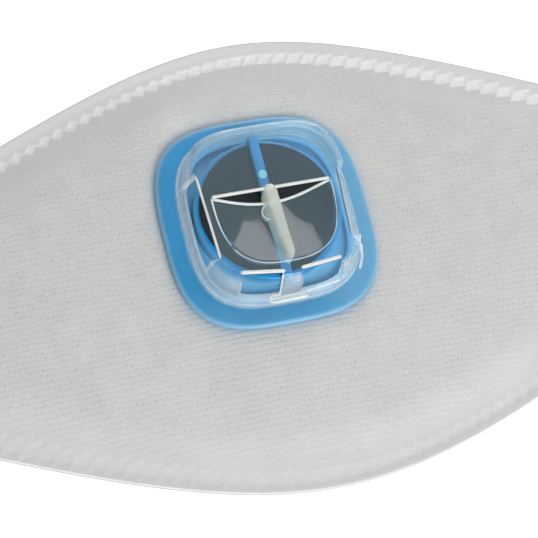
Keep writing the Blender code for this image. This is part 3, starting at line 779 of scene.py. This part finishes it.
def nose_clip(finish):
    """Flat aluminium strip, creased a little across, in the upper panel's hem."""
    low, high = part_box("nose_clip")
    for part, low_x, high_x in strips(high.x):
        xx, tt = grid(np.linspace(low_x, high_x, 60), np.linspace(0, 1, 9))
        corner = np.clip((np.abs(xx) - (high.x - 0.0012)) / 0.0012, 0, 1)
        inset = 0.0012 * (1 - np.sqrt(1 - corner ** 2))
        y = low.y + inset + (high.y - low.y - 2 * inset) * tt
        ridge = 0.00008 * np.cos((tt - 0.5) * TAU * 2)
        edge = 0.00012 * (2 * np.abs(tt - 0.5)) ** 6
        top, bottom = high.z + ridge - edge - 0.00008, low.z + ridge + edge + 0.00008
        piece, _ = slab(f"nose_clip_{part}", xx, y, top, bottom, [finish])
        rear_piece(piece, "upper", part, "nose_clip")


def nose_foam(finish):
    """Soft foam strip inside the mask, crowned and with rounded ends."""
    low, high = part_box("nose_foam")
    for part, low_x, high_x in strips(high.x):
        xx, tt = grid(np.linspace(low_x, high_x, 70), np.linspace(-1, 1, 25))
        past = np.clip((np.abs(xx) - (high.x - 0.004)) / 0.004, 0, 1)
        half = (high.y - low.y) / 2 - 0.0025 * (1 - np.sqrt(1 - past ** 2))
        y = (high.y + low.y) / 2 + half * np.sin(tt * math.pi / 2)
        crown = (1 - np.abs(np.sin(tt * math.pi / 2)) ** 4) ** 0.5 * (1 - past ** 4) ** 0.5
        uneven = 0.00007 * waves(xx, y, 0.006, 21)
        top = low.z + 0.0003 + (high.z - low.z - 0.0003) * (0.35 + 0.65 * crown) + uneven * crown
        piece, _ = slab(f"nose_foam_{part}", xx, y, top, np.full_like(top, low.z), [finish])
        rear_piece(piece, "upper", part, "nose_foam")


# --- Head straps ---
def head_strap(level, finish):
    """Knitted elastic: rubber cords side by side, with the knit's picks across them."""
    low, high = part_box(f"{level}_head_strap")
    cords = 9
    xx, tt = grid(np.linspace(low.x, high.x, 900), np.linspace(0, 1, cords * 6 + 1))
    half = (high.z - low.z) / 2
    scallop = np.abs(np.sin(tt * cords * math.pi))
    side = np.clip(np.minimum(tt, 1 - tt) * cords * 1.2, 0, 1)
    pick = 0.06 * np.sin(xx * TAU / 0.0011 + math.pi * np.floor(tt * cords))
    body = half * np.clip(0.62 + 0.32 * scallop ** 0.6 + pick * scallop, 0.3, 1)
    body = body * (0.45 + 0.55 * np.sqrt(side))
    middle = (high.z + low.z) / 2
    sway = 0.00010 * np.sin(xx * TAU / 0.046 + (1 if level == "upper" else 3))
    y = low.y + (high.y - low.y) * tt + sway
    piece, _ = slab(f"{level}_head_strap_webbing", xx, y, middle + body, middle - body, [finish])
    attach(piece, "front")
    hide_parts(f"{level}_head_strap")


# --- Exhalation valve ---
def valve_piece(piece, node, slot_name):
    """Carry a piece from the valve's own middle into place."""
    piece.data.transform(Matrix.Translation(VALVE))
    piece.visible_shadow = slot_name != "clear_plastic"
    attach(piece, "front")
    if node:
        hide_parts(node)


def mm_box(x, y, far_x, far_y):
    """A rectangle's corners in metres, from two opposite ones in millimetres."""
    return [(a * MM, b * MM) for a, b in ((x, y), (far_x, y), (far_x, far_y), (x, far_y))]


def mm_ring(half_x, half_y, z, exponent=FLANGE_SQUARE, shift=0.0):
    return ring((half_x * MM, half_y * MM), z * MM, exponent, (0.0, shift))


def valve_base(finish):
    """Pillow-edged flange, collar, round seat and the neck that holds the cloth."""
    rows = ((21.7, 22.8, 0.0), (22.25, 23.35, 0.10), (22.55, 23.65, 0.38), (22.6, 23.7, 0.70),
            (22.48, 23.58, 1.02), (22.15, 23.25, 1.30), (21.6, 22.7, 1.46), (20.8, 21.9, 1.52),
            (19.0, 20.2, 1.50), (17.2, 18.4, 1.48), (17.0, 18.2, 1.6), (17.0, 18.2, 2.75),
            (16.85, 18.05, 2.9), (16.25, 17.45, 2.9), (16.1, 17.3, 2.75), (16.1, 17.3, 1.55))
    round_rows = ((15.95, 1.5), (15.85, 4.9), (15.7, 5.15), (15.4, 5.2), (13.3, 5.2), (13.05, 5.0),
                  (13.0, 1.0), (13.0, -1.9), (13.2, -2.1), (14.2, -2.1), (14.4, -1.9), (14.4, 0.0))
    rings = [mm_ring(*row) for row in rows] + [mm_ring(r, r, z, 2.0, SEAT_Y) for r, z in round_rows]
    piece = loft("valve_base_flange", rings, [finish])
    points = np.concatenate(rings)
    # rim: how far each point turns to the flange's pale blue; paler all round on the thin outer edge
    rim = smooth(flange_reach(points[:, 0] + VALVE.x, points[:, 1] + VALVE.y), 0.95, 1.005)
    level = np.repeat(np.arange(len(rings)), len(rings[0]))
    across, down = points[:, 0] / MM, -points[:, 1] / MM
    flange, collar = level < 9, (level >= 9) & (level <= 17)
    seat_foot, seat_wall = level == 16, level == 17
    # paler all round on the collar
    rim += 0.5 * collar * (1 - rim)
    # painted light: paler on the seat's foot towards the bottom; painted shade: darker on the seat wall
    # towards the bottom
    rim += seat_foot * 0.35 * smooth(down, 9, 12)
    rim *= 1 - seat_wall * smooth(down, 9, 12)
    # painted sheen: paler on the flange's right side and towards its bottom
    rim = np.maximum(rim, 0.50 * smooth(across, -4, 21) * flange)
    rim = np.maximum(rim, 0.20 * smooth(down, 10, 22) * flange)
    mark(piece, rim=rim)
    soften(piece, 0, shade=50)
    valve_piece(piece, "valve_base", "blue_plastic")

    for name, start, stop, low, high, width in (("rib", -14.2, 14.2, 0.3, 4.9, 0.20),
                                                ("post_upper", 15.3, 16.2, 1.4, 6.0, 0.12),
                                                ("post_lower", -15.3, -16.2, 1.4, 6.0, 0.12)):
        block = prism(f"valve_base_{name}", mm_box(-1.0, start, 1.0, stop), low * MM, high * MM, finish)
        block.data.transform(Matrix.Translation((0, SEAT_Y, 0)))
        soften(block, width * MM)
        valve_piece(block, None, "blue_plastic")


def clamp_bar(finish, head_finish):
    """Bar across the membrane, with two domed pin heads."""
    outline = [tuple(p[:2]) for p in ring((1.1 * MM, 16.2 * MM), 0, 10, count=48)]
    bar = prism("membrane_clamp", outline, 6.3 * MM, 7.5 * MM, finish)
    bar.data.transform(Matrix.Translation((0, SEAT_Y, 0)))
    soften(bar, 0.00028, 3, 50)
    valve_piece(bar, "membrane_clamp_bar", "blue_plastic")
    for side, sign in (("upper", 1), ("lower", -1)):
        spot = (0.0, SEAT_Y + sign * 7.0 * MM)
        rings = [ring((r * MM, r * MM), z * MM, 2.0, spot, 40)
                 for r, z in ((1.0, 7.2), (1.0, 7.75), (0.93, 7.93), (0.75, 8.05), (0.45, 8.1))]
        head = loft(f"membrane_clamp_pin_{side}", rings, [head_finish], closed=False)
        soften(head, 0, shade=60)
        valve_piece(head, None, "blue_plastic")


DISH_HALF, DISH_TOP, DISH_BOTTOM = 13.1, 2.8, -13.8
DISH_DEEP, DISH_ROUND, PLATE = 3.0, 2.8, 12.0


def dish_edge(x, shrink=0.0):
    half, height = DISH_HALF - shrink, DISH_TOP - DISH_BOTTOM - shrink
    share = np.clip(1 - np.abs(x / half) ** DISH_ROUND, 0, 1)
    return DISH_TOP - height * share ** (1 / DISH_ROUND)


def dish_lip(x):
    """The dish's upper edge, which dips below the slot's straight one."""
    return DISH_TOP - 0.10 - 2.0 * (1 - (x / DISH_HALF) ** 2) ** 1.5


def dish_height(x, y):
    crown = 1 - (x / DISH_HALF) ** 2
    up = np.clip((y - DISH_BOTTOM) / (DISH_TOP - DISH_BOTTOM), 0, 1)
    return PLATE - 0.25 - DISH_DEEP * crown * up ** 1.08


def dish_piece(finish):
    """Scooped lower half of the plate: two wings that fall towards the slot."""
    u, v = grid(np.linspace(-1, 1, 97), np.linspace(0, 1, 41))
    x = 0.985 * DISH_HALF * np.sin(u * math.pi / 2)
    low = dish_edge(x)
    y = low + (dish_lip(x) - low) * v
    z = dish_height(x, y)
    piece, _ = slab("dish", x * MM, y * MM, z * MM, (z - 0.85) * MM, [finish])
    return piece


def bead(name, path, half_width, half_height, finish, taper=(1.0, 1.0)):
    """A rounded strip along a path, in millimetres from the valve's middle."""
    path = np.asarray(path, float)
    count, around = len(path), 12
    angle = np.arange(around) * TAU / around
    along = np.gradient(path, axis=0)
    side = np.stack([along[:, 1], -along[:, 0], np.zeros(count)], 1)
    side /= np.linalg.norm(side, axis=1)[:, None]
    share = np.linspace(0, 1, count)
    end = np.minimum(share, 1 - share) * np.linalg.norm(np.diff(path, axis=0), axis=1).sum()
    size = (taper[0] + (taper[1] - taper[0]) * share) * np.sqrt(np.clip(end / half_width, 0.04, 1))
    rings = []
    for spot, out, grow in zip(path, side, size):
        ring_points = spot + grow * (half_width * np.cos(angle)[:, None] * out
                                     + half_height * np.sin(angle)[:, None] * np.array((0, 0, 1.0)))
        rings.append(ring_points * MM)
    piece = loft(name, rings, [finish], closed=False)
    face_outwards(piece)
    valve_piece(piece, None, "clear_plastic")


def face_outwards(piece):
    body = bmesh.new()
    body.from_mesh(piece.data)
    bmesh.ops.recalc_face_normals(body, faces=body.faces)
    body.to_mesh(piece.data)
    body.free()


def line(start, stop, count=24):
    return np.linspace(start, stop, count)


def broken_line(corners):
    return np.concatenate([line(a, b, 9)[:-1] for a, b in zip(corners, corners[1:])])


def cover_beads(rim, edge):
    """The thick bright edges of the cover's slot, notches and windows: real edges drawn as milky white
    beads, their brightness a painted highlight for the light the clear edges catch.
    """
    slot = line((-12.9, DISH_TOP + 0.1, PLATE - 0.20), (12.9, DISH_TOP + 0.1, PLATE - 0.20), 60)
    bead("valve_cover_slot_edge", slot, 0.34, 0.30, rim)
    x = 12.7 * np.sin(np.linspace(-1, 1, 80) * math.pi / 2)
    lip = np.stack([x, dish_lip(x) - 0.15, dish_height(x, dish_lip(x)) - 0.10], 1)
    bead("valve_cover_dish_lip", lip, 0.30, 0.28, rim)
    for side, sign, width in (("left", -1, 0.24), ("right", 1, 0.15)):
        y = np.linspace(2.6, -8.5, 60)
        fall = (DISH_TOP - y) / (DISH_TOP - DISH_BOTTOM)
        x = sign * DISH_HALF * (1 - fall ** DISH_ROUND) ** (1 / DISH_ROUND)
        flank = np.stack([x * 0.99, y, np.full(len(y), PLATE - 0.12)], 1)
        bead(f"valve_cover_dish_{side}", flank, width, 0.2, rim, (1.0, 0.3))
    x = DISH_HALF * np.sin(np.linspace(-0.62, 0.72, 70) * math.pi / 2)
    crease = np.stack([x, dish_edge(x) + 0.05, np.full(len(x), PLATE - 0.10)], 1)
    bead("valve_cover_dish_crease", crease, 0.10, 0.14, edge)
    turn = np.linspace(0, TAU, 49)
    ring_path = np.stack([1.7 * np.cos(turn) - 1.0, 1.7 * np.sin(turn) - 1.8, np.full(len(turn), 9.95)], 1)
    bead("valve_cover_boss_edge", ring_path, 0.13, 0.13, edge)
    tab = [(14.5, -10.8, PLATE - 0.2), (16.0, -10.7, 9.0), (17.7, -10.6, 5.0), (17.4, -13.0, 4.6),
           (16.0, -16.2, 4.3)]
    snap = [(3.8, -19.45, 4.3), (-4.1, -19.55, 4.3), (-4.4, -19.3, 4.5), (-4.4, -18.6, 5.3),
            (-4.1, -18.5, 5.5), (-2.0, -18.55, 5.5)]
    high = PLATE - 0.25
    for name, path, half_width, half_height, finish in (
            ("notch_edge", line((-15.0, 8.2, PLATE - 0.15), (-14.1, -10.8, PLATE - 0.15)), 0.27, 0.25, rim),
            ("notch_end", line((-14.9, 8.45, PLATE - 0.5), (-17.3, 8.3, 5.4)), 0.62, 0.25, edge),
            ("tab_end", line((15.1, -10.9, PLATE - 0.6), (17.6, -10.8, 5.2)), 0.42, 0.25, edge),
            ("tab_edge", broken_line(tab), 0.30, 0.24, edge),
            ("window_left", line((-10.8, -14.4, high), (-1.5, -15.7, high)), 0.40, 0.35, rim),
            ("window_right", line((10.9, -14.75, high), (1.9, -15.65, high)), 0.40, 0.35, rim),
            ("snap_edge", broken_line(snap), 0.16, 0.16, rim),
            ("sill", line((3.2, -18.75, 5.2), (11.0, -17.7, 5.2)), 0.14, 0.14, edge),
            ("pillar_edge", line((-1.9, -15.9, PLATE - 0.3), (-2.35, -18.6, 5.0)), 0.18, 0.18, edge)):
        bead(f"valve_cover_{name}", path, half_width, half_height, finish)


def valve_cover(clear, wall, rim, edge):
    """Clear vented shell with notched windows, a scooped dish, a fin and a snap rail."""
    inner = ((15.6, 16.3, 11.05, 3.9), (16.0, 16.7, 10.7, 3.8), (16.3, 17.2, 8.0, 3.6),
             (16.6, 17.9, 4.4, 3.3), (17.5, 18.7, 3.9, 3.2), (17.6, 18.8, 1.85, 3.2))
    outer = ((18.55, 19.75, 1.85, 3.2), (18.6, 19.8, 2.1, 3.2), (18.6, 19.8, 3.75, 3.2),
             (18.45, 19.65, 3.98, 3.2), (17.9, 19.1, 4.08, 3.25), (17.65, 18.9, 4.35, 3.3),
             (17.35, 18.35, 8.0, 3.6), (17.05, 17.8, 11.1, 3.8), (16.92, 17.62, 11.6, 3.85),
             (16.65, 17.35, 11.88, 3.9), (16.25, 16.95, 12.0, 3.9))
    roof, side_wall, bevel = 0, 1, 2
    kinds = [side_wall] * (len(inner) + len(outer) - 2) + [roof]
    kinds[0] = roof
    # the lip's outer chamfer gets the milky edge material: a painted highlight line all round it
    kinds[len(inner) + 2] = bevel
    rings = [mm_ring(*row) for row in inner + outer]
    shell = loft("valve_cover_shell", rings, [clear, wall, edge], kinds, closed=False)

    def block(name, corners, low, finish, high=16.0):
        return prism(name, [(x * MM, y * MM) for x, y in corners], low * MM, high * MM, finish)

    steps, past = [], 24  # beyond the shell
    for side, sign, low_y, high_y in (("left", -1, -10.8, 8.1), ("right", 1, -10.7, 6.3)):
        high_window = ((14.15, low_y), (15.05, high_y), (past, high_y), (past, low_y))
        low_window = ((1.9, -15.7), (10.9, -14.8), (11.2, -past), (2.4, -past))
        for name, corners, foot in (("side", high_window, 4.45), ("low", low_window, 5.2)):
            corners = [(sign * x, y) for x, y in corners]
            steps.append(("DIFFERENCE", block(f"cut_{name}_{side}", corners, foot, wall)))
    span = 0.985 * DISH_HALF - 0.25
    across = [span * math.sin(step * math.pi / 48) for step in range(-22, 23)]
    arc = [(x, float(dish_edge(np.array(x), 0.5))) for x in across]
    opening = [(-span, DISH_TOP), *arc, (span, DISH_TOP)]
    steps.append(("DIFFERENCE", block("cut_dish", opening, 9.0, clear)))
    carve(shell, steps)

    carve(shell, [("UNION", dish_piece(clear))])
    soften(shell, 0.00011, 2, 38, 42)
    flatten = shell.modifiers.new("flat_faces", "WEIGHTED_NORMAL")
    flatten.keep_sharp = True
    bake(shell)
    valve_piece(shell, "valve_cover", "clear_plastic")
    cover_beads(rim, edge)

    corners = ((-4.3, -19.85), (3.8, -19.75), (3.8, -18.5), (-4.3, -18.5))
    ledge = block("valve_cover_snap", corners, 3.2, wall, 5.0)
    soften(ledge, 0.0003)
    valve_piece(ledge, None, "clear_plastic")
    spot = (-1.0 * MM, -1.8 * MM)
    rings = [ring((r * MM, r * MM), z * MM, 2.0, spot, 48)
             for r, z in ((1.9, 8.9), (1.9, 9.75), (1.8, 9.9), (1.5, 9.9), (1.4, 9.8), (1.4, 9.4))]
    boss = loft("valve_cover_boss", rings, [wall], closed=False)
    soften(boss, 0, shade=50)
    valve_piece(boss, None, "clear_plastic")


def cover_fin(finish):
    """The upright blade on the dish: thickest at the slot, rounded at its lower end."""
    stations, start, stop = 30, -13.3, 3.1
    rings = []
    for step in range(stations):
        t = step / (stations - 1)
        y = start + (stop - start) * t
        middle = 0.5 - 1.9 * t + 0.9 * t * t
        tip = math.sqrt(max(1 - (1 - min(t / 0.10, 1)) ** 2, 0.02))
        half = (0.80 + 0.45 * min(t / 0.75, 1) ** 0.8) * tip * (1 - 0.35 * max((t - 0.9) / 0.1, 0) ** 2)
        top = 13.75 - 0.25 * (1 - tip) - 0.4 * max((t - 0.93) / 0.07, 0)
        flank = ((1.12, 8.6), (1.04, 11.0), (1, top - 0.35), (0.72, top - 0.05))
        section = [(-half * wide, z) for wide, z in flank] + [(0, top)]
        section += [(half * wide, z) for wide, z in reversed(flank)]
        rings.append(np.array([((x + middle) * MM, y * MM, z * MM) for x, z in section]))
    piece = loft("valve_cover_fin", rings, [finish], closed=False)
    face_outwards(piece)
    soften(piece, 0, shade=50)
    valve_piece(piece, None, "clear_plastic")


# --- Make everything ---
make_camera()
make_studio()

outer_cloth = nonwoven("outer_nonwoven", (0.500, 0.497, 0.488), (0.43, 0.427, 0.42), (0.67, 0.66, 0.645),
                       0.07, 0.12)
inner_cloth = nonwoven("inner_nonwoven", (0.66, 0.66, 0.65), (0.60, 0.60, 0.60), (0.74, 0.74, 0.73),
                       0.05, 0.15, 1.1)
filter_cloth = fibre_mat("filter_media", (0.76, 0.76, 0.74), 1.8, 0.12)
# the pale colour is the flange's thin edge and collar, and also its painted sheen and light
blue = plastic("blue_plastic", (0.010, 0.208, 0.440), 0.42, 0.02, (0.26, 0.48, 0.62))
clamp_blue = plastic("clamp_plastic", (0.014, 0.17, 0.36), 0.40, 0.015)
pin_blue = plastic("pin_plastic", (0.25, 0.50, 0.60), 0.35, 0.015)
cover_clear = clear_look("clear_plastic", (0.62, 0.86, 1.0), 0.030, 0.02, 0.7)
cover_wall = clear_look("clear_plastic_wall", (0.87, 0.86, 0.83), 0.13, 0.10, 0.15)
# milky materials of the cover's edges: painted highlights where the clear edges catch the light
cover_edge_highlight = clear_look("clear_plastic_edge_highlight", (0.90, 0.92, 0.95), 0.30, 0.15, 0.4)
cover_rim_highlight = clear_look("clear_plastic_rim_highlight", (0.66, 0.66, 0.64), 0.95, 0.25, 0.3)
fin_clear = clear_look("clear_plastic_fin", (0.66, 0.66, 0.60), 0.55, 0.18, 0.5)
rubber = plastic("membrane_rubber", (0.010, 0.011, 0.014), 0.60, 0.003, Specular_IOR_Level=0.15)
aluminium = metal("nose_clip_aluminium", (0.72, 0.73, 0.74), 0.34, (0.05, 3.0, 3.0))
steel = metal("staple_steel", (0.62, 0.63, 0.64), 0.30, (1.0, 1.0, 0.4))
foam = foam_look()
elastic = strap_look()

for layer, finish, columns, inner, level, thickness, shrink, node, slot_name in (
        ("fabric", outer_cloth, 560, 96, 0, WEB, 0.0, "outer_web", "outer_nonwoven"),
        ("media", filter_cloth, 160, 40, 1, MEDIA, 0.00025, "filter_media", "filter_media"),
        ("lining", inner_cloth, 200, 48, 2, WEB, 0.00012, "inner_web", "inner_nonwoven")):
    front_layer(f"front_{layer}", finish, columns, inner, level, thickness, shrink,
                f"front_panel_{node}")
for side in ("upper", "lower"):
    rear_panel(side, (outer_cloth, filter_cloth, inner_cloth))
    head_strap(side, elastic)
nose_clip(aluminium)
nose_foam(foam)
valve_base(blue)
clamp_bar(clamp_blue, pin_blue)
valve_cover(cover_clear, cover_wall, cover_rim_highlight, cover_edge_highlight)
cover_fin(fin_clear)
membrane = ("membrane_centre", "membrane_flap_left", "membrane_flap_right")
staples = ("staple_upper_left", "staple_upper_right", "staple_lower_left", "staple_lower_right")
for names, material in ((membrane, rubber), (staples, steel)):
    for name in names:
        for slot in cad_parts[name].material_slots:
            slot.material = material
